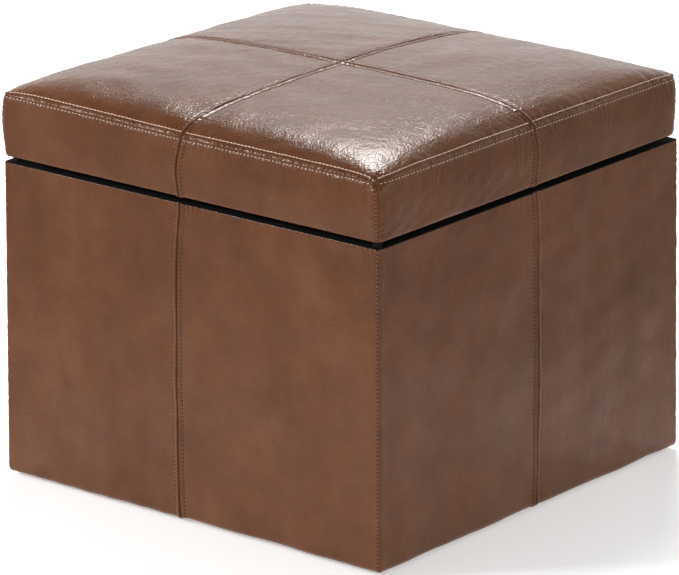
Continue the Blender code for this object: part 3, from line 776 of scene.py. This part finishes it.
def swollen_lid():
    """Runs the lid cover as cloth under pressure, held along its seams, and returns how far it moves."""
    depth = TURN_Z - LID_LOW
    half_line = np.concatenate([np.linspace(0, RUN - SEAM_RISE, 32),
                                np.linspace(RUN - SEAM_RISE, RUN + depth, 10)[1:]])
    line = both_ways(half_line)
    ax, ay = np.meshgrid(line, line)
    rest = lid_surface(ax, ay, corner_at(ax, ay))
    rows = len(line)
    obj = mesh_object("lid_cloth", rest.reshape(-1, 3), grid_faces(rows, rows), MATERIALS["leather"])
    far = np.maximum(np.abs(ax), np.abs(ay))
    cell = half_line[1]
    held = (np.abs(ax) < 0.5 * cell) | (np.abs(ay) < 0.5 * cell)
    held |= (np.abs(far - RUN + SEAM_RISE) < 0.2 * cell) | (far > RUN + depth - 1e-6)
    group = obj.vertex_groups.new(name="Pin")
    group.add(np.flatnonzero(held.ravel()).tolist(), 1.0, "REPLACE")
    settings = obj.modifiers.new("Cloth", "CLOTH").settings
    settings.quality = 8
    settings.mass = 0.5
    settings.tension_stiffness = settings.compression_stiffness = 60
    settings.shear_stiffness = 30
    settings.bending_stiffness = 8
    settings.vertex_group_mass = "Pin"
    settings.use_pressure = True
    settings.uniform_pressure_force = CLOTH_PRESSURE
    settings.effector_weights.gravity = 0
    scene = bpy.context.scene
    for step in range(1, CLOTH_FRAMES + 1):
        scene.frame_set(step)
    mesh = obj.evaluated_get(bpy.context.evaluated_depsgraph_get()).to_mesh()
    moved = np.empty(len(mesh.vertices) * 3)
    mesh.vertices.foreach_get("co", moved)
    scene.frame_set(1)
    swell = ((moved.reshape(rest.shape) - rest) * normals_of(rest)).sum(-1)
    bpy.data.objects.remove(obj)
    return line, np.clip(swell, -SWELL_CAP, SWELL_CAP)


def swell_function():
    line, swell = swollen_lid()
    swell = swell * SWELL / max(np.percentile(swell, 99), 1e-6)

    def sampled(points):
        x, y, z = points[..., 0], points[..., 1], points[..., 2]
        reach = [RUN - np.interp(HALF - np.abs(v), SECTION_IN, SECTION_RUN) for v in (x, y)]
        down = np.maximum(TURN_Z - z, 0)
        reach = [np.where(r >= np.maximum(*reach) - 1e-9, r + down, r) for r in reach]
        return between(swell, line, line, reach[0] * np.sign(x), reach[1] * np.sign(y))
    return sampled


# Stitching -------------------------------------------------


class Stitching:
    """Gathers rows of stitches and makes one mesh of them."""

    SIDES = 6
    ARCH = np.array([-0.45, 0.4, 1.0, 0.4, -0.45])
    TAPER = np.array([0.7, 1.0, 1.08, 1.0, 0.7])

    def __init__(self, seed):
        self.vertices, self.faces, self.count = [], [], 0
        self.rng = np.random.default_rng(seed)

    def row(self, panel, s, t, kind, shift=0.0, arch=None):
        """Stitches along a line on a panel. s and t are the line's parameters at many places along it."""
        pitch, length, radius, lift = kind
        points, _ = panel.at(s, t)
        along = lengths(points)
        number = int(along[-1] / pitch - shift)
        first = (np.arange(number) + shift) * pitch + self.rng.normal(0, 0.09 * MM, number)
        places = first[:, None] + length * np.linspace(0, 1, len(self.ARCH))[None]
        s_at, t_at = np.interp(places, along, s), np.interp(places, along, t)
        spots, normals = panel.at(s_at.ravel(), t_at.ravel())
        spots, normals = spots.reshape(*places.shape, 3), normals.reshape(*places.shape, 3)
        arch = self.ARCH if arch is None else np.full(len(self.ARCH), arch)
        height = np.where(arch < 0, arch * radius, lift * arch)
        self.tubes(spots + normals * height[None, :, None], normals, radius)

    def tubes(self, spots, normals, radius):
        forward = np.gradient(spots, axis=1)
        forward /= np.maximum(np.linalg.norm(forward, axis=-1, keepdims=True), 1e-12)
        across = np.cross(forward, normals)
        across /= np.maximum(np.linalg.norm(across, axis=-1, keepdims=True), 1e-12)
        up = np.cross(across, forward)
        taper = self.TAPER[None, :, None, None] * radius
        turn = np.arange(self.SIDES) * 2 * math.pi / self.SIDES
        ring = (across[:, :, None] * np.cos(turn)[None, None, :, None]
                + up[:, :, None] * np.sin(turn)[None, None, :, None])
        vertices = (spots[:, :, None] + ring * taper).reshape(-1, 3)
        stitches, rings = spots.shape[:2]
        k, r, c = np.mgrid[0:stitches, 0:rings - 1, 0:self.SIDES]
        base = self.count + k * rings * self.SIDES + r * self.SIDES
        a, b = base + c, base + (c + 1) % self.SIDES
        quads = np.stack([a, b, b + self.SIDES, a + self.SIDES], -1).reshape(-1, 4)
        self.vertices.append(vertices)
        self.faces.extend(quads[:, ::-1].tolist())
        for last in (0, rings - 1):
            caps = self.count + np.arange(stitches)[:, None] * rings * self.SIDES + last * self.SIDES
            caps = caps + np.arange(self.SIDES)[None]
            self.faces.extend((caps if last == 0 else caps[:, ::-1]).tolist())
        self.count += len(vertices)

    def made(self, name, material):
        return mesh_object(name, np.concatenate(self.vertices), self.faces, MATERIALS[material])


class Needlework:
    """A body's thread, with near-black marks of painted shade at the gaps where its stitches sink into the
    leather.
    """

    def __init__(self, seed):
        self.pale, self.brown, self.hole_shades = Stitching(seed), Stitching(seed + 1), Stitching(seed + 2)

    def row(self, panel, s, t, kind, pale=False):
        pitch, length, radius, _ = kind
        (self.pale if pale else self.brown).row(panel, s, t, kind, 0.5)
        gap = pitch - length
        # Size of the painted-shade marks that sit in the gaps between stitches
        hole_shade = (pitch, gap + 0.5 * MM, (0.95 if pale else 1.8) * radius, 0.0)
        self.hole_shades.row(panel, s, t, hole_shade, 0.5 + (length - 0.25 * MM) / pitch, arch=-0.62 if pale else -0.5)

    def made(self, name, body):
        parts = ((self.pale, "edge_thread", "pale_thread"), (self.brown, "seam_thread", "thread"),
                 (self.hole_shades, "needle_hole_shades", "hole_shade"))
        for stitching, label, material in parts:
            if stitching.count:
                dress(stitching.made(f"{name}_{label}", material), body, "leather")


def line_between(start, end):
    """Places along a row, close enough together to follow the leather."""
    return np.linspace(start, end, 400)


def side_rows(needlework, panel, hand, top=None):
    """The upright rows beside a middle seam and, on the far half, beside the corner seam."""
    t = line_between(panel.t[0] + 20 * MM, (panel.t[-1] if top is None else top) - 1 * MM)
    needlework.row(panel, np.full_like(t, ROW_OFFSET), t, SEAM_STITCH)
    if hand > 0:
        needlework.row(panel, np.full_like(t, panel.s[-1] - CORNER_ROW), t, SEAM_STITCH)


# Pieces ----------------------------------------------------


def dress(obj, body, slot, *nodes):
    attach(obj, body)
    if nodes:
        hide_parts(*nodes)
    return obj


def build_box():
    needlework = Needlework(5)
    for side, quarter, far, near in QUARTERS:
        for hand, end in ((1, far), (-1, near)):
            panel = box_leather(quarter, hand, 100 * quarter + 50 * (hand > 0))
            obj = panel_object(f"box_leather_{side}_{end}", panel, MATERIALS["leather"])
            dress(obj, "base", "leather", f"base_cover_{side}_{end}")
            side_rows(needlework, panel, hand)
    needlework.made("box", "base")


def build_lid(swell):
    needlework = Needlework(16)
    for side, quarter, far, near in QUARTERS:
        for hand, end in ((1, far), (-1, near)):
            panel = band_leather(side, end, quarter, hand, 700 + 100 * quarter + 50 * (hand > 0), swell)
            obj = panel_object(f"lid_band_leather_{side}_{end}", panel, MATERIALS["leather"])
            dress(obj, "lid", "leather", f"lid_band_{side}_{end}")
            side_rows(needlework, panel, hand, panel.t[-1] - EDGE_ROW)
            s = line_between(1 * MM, panel.s[-1] - 1 * MM)
            needlework.row(panel, s, np.full_like(s, panel.t[-1] - EDGE_ROW), LOWER_STITCH, pale=True)
    for end, sign_y in (("front", -1), ("rear", 1)):
        for side, sign_x in (("left", -1), ("right", 1)):
            panel = top_leather(sign_x, sign_y, 1500 + 100 * (sign_x + 2 * sign_y), swell)
            obj = panel_object(f"lid_top_leather_{end}_{side}", panel, MATERIALS["leather"])
            dress(obj, "lid", "leather", f"lid_top_{end}_{side}")
            run = line_between(1 * MM, panel.s[-1] - EDGE_ROW)
            edge = np.full_like(run, panel.s[-1] - EDGE_ROW)
            beside = np.full_like(run, ROW_OFFSET)
            for s, t in ((run, edge), (edge, run)):
                needlework.row(panel, s, t, EDGE_STITCH, pale=True)
            for s, t in ((beside, run), (run, beside)):
                needlework.row(panel, s, t, SEAM_STITCH)
    needlework.made("lid", "lid")


def build_padding():
    """The foam block and the wadding over it, as closed crowned forms that follow the leather."""
    depth = TURN_Z - LID_LOW
    line = both_ways(np.concatenate([np.linspace(0, RUN, 40), np.linspace(RUN, RUN + depth, 12)[1:]]))
    rest = settled(lid_surface(*np.meshgrid(line, line), PADDING_CORNER))
    rows = len(line)
    sides = np.arange(rows - 1)
    back = rows - 1 - sides
    ring = np.concatenate([sides, sides * rows + rows - 1, rows * rows - 1 - sides, back * rows])
    for node, (slot, clear) in PADDING.items():
        points = rest - normals_of(rest) * clear
        size = HALF - clear - 1 * MM
        points[..., :2] = np.clip(points[..., :2], -size, size)
        points[..., 2] = np.maximum(points[..., 2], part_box(node)[0].z)
        faces = grid_faces(rows, rows)
        obj = mesh_object(f"{node}_padding", points.reshape(-1, 3), faces, MATERIALS[slot])
        mesh = bmesh.new()
        mesh.from_mesh(obj.data)
        mesh.verts.ensure_lookup_table()
        mesh.faces.new([mesh.verts[i] for i in ring[::-1]])
        bmesh.ops.remove_doubles(mesh, verts=mesh.verts, dist=0.05 * MM)
        bmesh.ops.recalc_face_normals(mesh, faces=mesh.faces)
        mesh.to_mesh(obj.data)
        mesh.free()
        dress(obj, "lid", slot, node)


def staples(panel, s, t, name, body):
    """A row of wire staples, driven through a cloth along a line on it."""
    wire = Stitching(41)
    wire.row(panel, s, t, STAPLE, 0.4)
    dress(wire.made(name, "zinc_steel"), body, "zinc_steel")


def build_lining():
    """The storage space's cloth lining: a floor and four walls, sewn at the corners, slack between them."""
    low, high = LINING
    wall = HALF - high.x + LINING_INSIDE
    floor, fold = low.z + LINING_INSIDE, LINING_FOLD
    corner = bend((wall + fold, floor + fold), fold, 270, 180)
    centre, hem = (HALF - 1 * MM, floor), (wall, high.z - 1 * MM)
    profile = [centre] + straight(centre, corner[0], 3 * MM, 7 * MM, 20 * MM) + corner
    profile = np.array(profile + straight(corner[-1], hem, 3 * MM, 7 * MM, 20 * MM) + [hem])
    line = both_ways(graded(0.0, HALF, 3 * MM, 6 * MM, 20 * MM))
    s, t, inset, z = spread(profile, line)
    points = np.stack([s / HALF * (HALF - inset), inset - HALF, z], -1)
    held = smoothstep(0, 30 * MM, HALF - np.abs(s)) * smoothstep(0, 40 * MM, t)
    near_hem = np.exp(-(t[-1] - t) / (30 * MM))
    drawn = 0.5 + 0.5 * np.cos(2 * math.pi * s / STAPLE[0])
    vertices, faces = [], []
    for side, quarter, _, _ in QUARTERS:
        wave = 0.5 + 0.5 * Waves(330 + quarter, 90 * MM, stretch=1.8)(s, t)
        slack = 1.6 * MM * wave * (1 - near_hem) + 0.7 * MM * drawn * near_hem
        slack += 0.25 * MM * Waves(340 + quarter, 22 * MM, stretch=2.0)(s, t)
        panel = Panel(line, t[:, 0], points, flip=True).raised(np.maximum(slack, 0) * held)
        panel = Panel(line, t[:, 0], placed(panel.points, quarter, 1), flip=True)
        faces.append(grid_faces(*s.shape, flip=True) + len(vertices) * s.size)
        vertices.append(panel.points.reshape(-1, 3))
        run = line_between(-0.94 * HALF, 0.94 * HALF)
        below_hem = np.full_like(run, panel.t[-1] - HEM_TO_STAPLES)
        staples(panel, run, below_hem, f"lining_staples_{side}", "base")
    obj = mesh_object("storage_lining_cloth", np.concatenate(vertices), np.concatenate(faces),
                      MATERIALS["black_cloth"])
    joined = bmesh.new()
    joined.from_mesh(obj.data)
    bmesh.ops.remove_doubles(joined, verts=joined.verts, dist=0.05 * MM)
    area = sum(face.calc_area() for face in joined.faces)
    joined.to_mesh(obj.data)
    joined.free()
    thicken(obj, LINING_CLOTH, -1)
    dress(obj, "base", "black_cloth", "storage_lining")


def build_flat_cloth(node, name, body, sag):
    """A flat cloth stapled under a board: the lid's underlining or the dust cover under the box."""
    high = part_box(node)[1]
    line = both_ways(graded(0.0, high.x, 3 * MM, 7 * MM, 20 * MM))
    x, y = np.meshgrid(line, line)
    to_edge = high.x - np.maximum(np.abs(x), np.abs(y))
    held = smoothstep(10 * MM, 60 * MM, to_edge)
    z = high.z - sag * held * (0.5 + 0.5 * Waves(360 + len(node), 80 * MM)(x, y))
    z -= 0.12 * MM * smoothstep(0, 12 * MM, to_edge) * (0.5 + 0.5 * Waves(361, 26 * MM)(x, y))
    panel = Panel(line, line, np.stack([x, y, z], -1))
    obj = panel_object(name, panel, MATERIALS["black_cloth"])
    thicken(obj, FLAT_CLOTH, -1)
    dress(obj, body, "black_cloth", node)
    under = Panel(line, line, panel.points - [0, 0, FLAT_CLOTH], flip=True)
    run = line_between(-0.95 * high.x, 0.95 * high.x)
    edge = np.full_like(run, high.x - 6 * MM)
    rows = {"front": (run, -edge), "rear": (run, edge), "left": (-edge, run), "right": (edge, run)}
    for label, (s, t) in rows.items():
        staples(under, s, t, f"{name}_staples_{label}", body)


def rim_profile():
    """The black tape's section over the rim, a little outside the leather's."""
    high, q = BOX_TOP, INNER_BEND
    inside = bend((RIM_IN - q, high - q), q + TAPE_CLEAR, 90, 0, 8)
    over = bend((RIM_BEND, high - RIM_BEND), RIM_BEND + 0.5 * TAPE_CLEAR, 140, 90, 4)
    path = over + straight(over[-1], inside[0], 1.2 * MM, 1.6 * MM, 4 * MM) + inside
    end = (RIM_IN + TAPE_CLEAR, high - RIM_DROP + 1 * MM)
    return np.array(path + straight(inside[-1], end, 2 * MM, 3 * MM, 8 * MM) + [end])


def build_rim_tape():
    """Black cloth tape over the rim, drawn a little unevenly inside the box."""
    end = HALF - BOX_CORNER + BOX_CORNER * math.pi / 4
    line = both_ways(graded(0.0, end, 2.5 * MM, 4 * MM, 20 * MM))
    s, t, inset, z = spread(rim_profile(), line)
    points = round_side(np.abs(s), inset, z, BOX_CORNER, 0.0)
    points[..., 0] *= np.sign(s)
    loose = smoothstep(6 * MM, 16 * MM, t) * smoothstep(0, 20 * MM, end - np.abs(s))
    for side, quarter, *names in QUARTERS:
        slack = 0.5 + 0.5 * Waves(300 + quarter, 34 * MM)(s, 0.5 * t)
        panel = Panel(line, t[:, 0], points).raised(0.35 * MM * slack * loose)
        panel = Panel(line, t[:, 0], placed(panel.points, quarter, 1))
        obj = panel_object(f"rim_tape_{side}", panel, MATERIALS["black_cloth"])
        thicken(obj, TAPE_CLOTH, 1)
        dress(obj, "base", "black_cloth")


def carried_nodes():
    """Gives the CAD nodes, whose own shapes are kept, their finished materials."""
    for entry in frame["record"]["subparts"]:
        mesh = frame["nodes"][entry["node"]].data
        mesh.materials.clear()
        mesh.materials.append(MATERIALS[entry["material_slot"]])
        mesh.shade_smooth()
        mesh.set_sharp_from_angle(angle=math.radians(32))


def studio():
    """A floor with a painted pool of light, pale along the camera's line and greyer to the sides and
    glowing near that line, a backdrop sky that is brightest low down, and two soft boxes.
    """
    scene = bpy.context.scene
    bpy.ops.mesh.primitive_plane_add(size=FLOOR_SIZE)
    floor = bpy.context.object
    floor.name = "studio_floor"
    floor.rotation_euler.z = CAMERA_TURN
    n = Nodes("floor_with_painted_light_pool")
    split = n.add("ShaderNodeSeparateXYZ", Vector=n.place)
    off_line = n.math("ABSOLUTE", split.outputs["X"])
    # Painted light: the floor is pale and glows along the camera's line and greys to the sides, a pool of
    # light painted on the floor
    grey = n.range(off_line, *PAINTED_POOL_FADE, 0.97, 0.52)
    painted_glow = n.range(off_line, *PAINTED_GLOW_FADE, 0.38, 0.0)
    floor.data.materials.append(n.finish(Base_Color=grey, Roughness=0.8, Emission_Strength=painted_glow))
    scene.world = bpy.data.worlds.new("studio")
    scene.world.use_nodes = True
    tree = scene.world.node_tree
    kinds = ("TexCoord", "SeparateXYZ", "ValToRGB")
    place, split, ramp = (tree.nodes.new(f"ShaderNode{kind}") for kind in kinds)
    tree.links.new(place.outputs["Generated"], split.inputs[0])
    tree.links.new(split.outputs["Z"], ramp.inputs["Fac"])
    tree.links.new(ramp.outputs["Color"], tree.nodes["Background"].inputs["Color"])
    set_stops(ramp.color_ramp, [(position, (grey, grey, grey)) for position, grey in SKY])
    for name, place, size, power in LAMPS:
        data = bpy.data.lights.new(name, "AREA")
        data.size = size
        data.energy = power
        lamp = bpy.data.objects.new(name, data)
        lamp.location = place
        lamp.rotation_euler = (LAMP_AIM - Vector(place)).to_track_quat("-Z", "Y").to_euler()
        scene.collection.objects.link(lamp)
    scene.view_settings.view_transform = "Standard"


def camera():
    """A long lens, well back, looking a little down on the front right corner."""
    side = 2 * HALF
    target = Vector((AIM_ASIDE * side, 0, AIM_HEIGHT * side + BOX_LOW))
    level = math.cos(CAMERA_TILT)
    back = Vector((math.sin(CAMERA_TURN) * level, -math.cos(CAMERA_TURN) * level, math.sin(CAMERA_TILT)))
    data = bpy.data.cameras.new("camera")
    data.sensor_width = 36.0
    data.lens = FOCAL_RATIO * data.sensor_width
    data.clip_end = 100
    obj = bpy.data.objects.new("camera", data)
    obj.matrix_world = (Matrix.Translation(target + back * CAMERA_DISTANCE * side)
                        @ (-back).to_track_quat("-Z", "Y").to_matrix().to_4x4()
                        @ Matrix.Rotation(CAMERA_ROLL, 4, "Z"))
    bpy.context.scene.collection.objects.link(obj)
    bpy.context.scene.camera = obj


camera()
studio()
carried_nodes()
build_box()
build_rim_tape()
build_lining()
build_flat_cloth("base_dust_cover", "dust_cover_cloth", "base", 0.3 * MM)
build_flat_cloth("lid_underlining", "lid_underlining_cloth", "lid", 0.15 * MM)
build_lid(swell_function())
build_padding()
